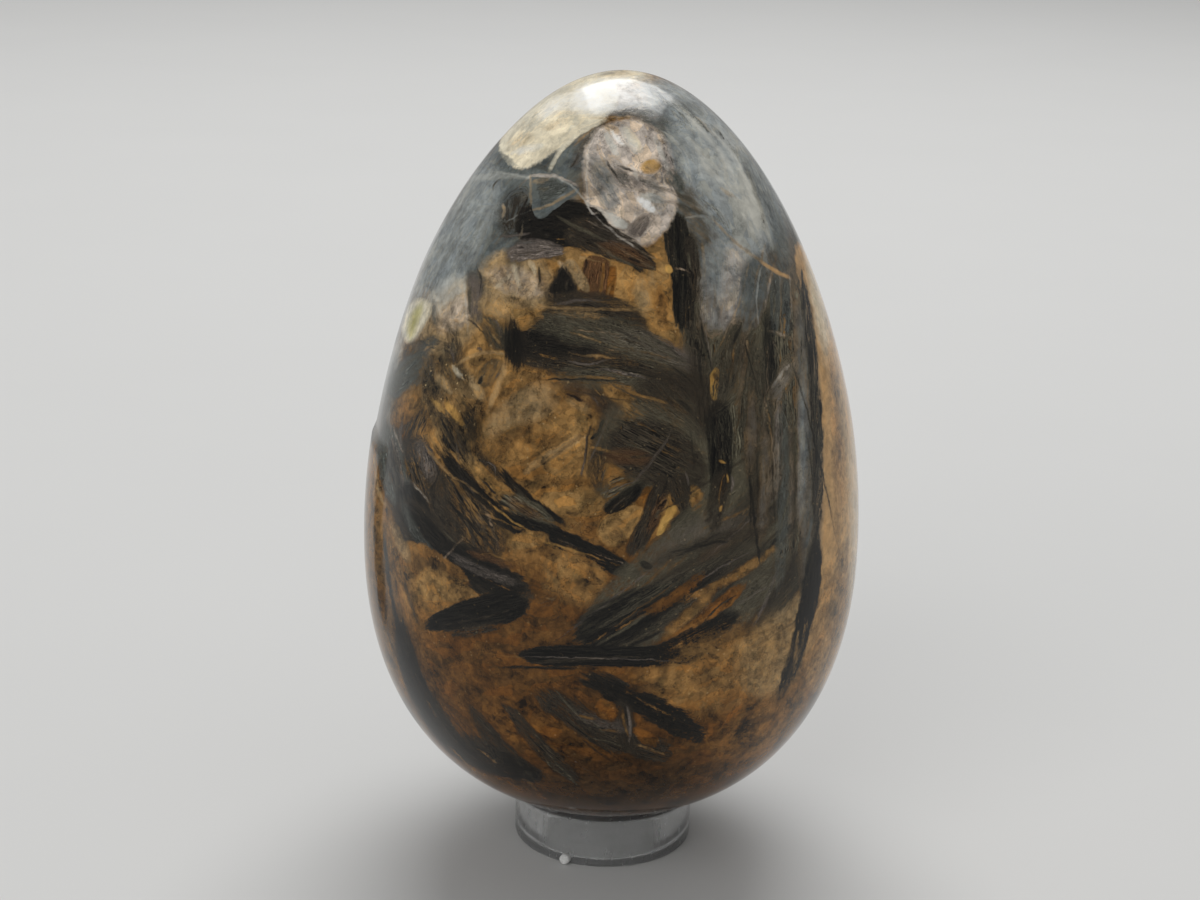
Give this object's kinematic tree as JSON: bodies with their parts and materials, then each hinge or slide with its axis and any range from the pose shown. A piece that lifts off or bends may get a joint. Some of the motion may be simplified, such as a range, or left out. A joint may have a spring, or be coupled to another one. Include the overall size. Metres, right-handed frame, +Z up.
{
  "type": "decorative egg on stand",
  "caption": "Polished mineral egg that stands upright, blunt end down, in a low clear plastic ring.",
  "frame": {"origin": "centre of the ring's foot, on the surface that it stands on", "axes": "+Z up along the shared axis of the egg and the ring, -Y towards the viewer of the picture, +X to that viewer's right"},
  "size_m": [0.0518, 0.0518, 0.0826],
  "materials": {
    "stone": "polished",
    "clear_plastic": "clear, glossy"
  },
  "bodies": {
    "stand": {"ring_stand": "clear_plastic"},
    "egg": {"egg": "stone"}
  },
  "joints": [
    {"name": "egg_lift", "type": "slide", "parent": "stand", "child": "egg", "axis": [0, 0, 1], "range_m": [0, 0.03]}
  ]
}
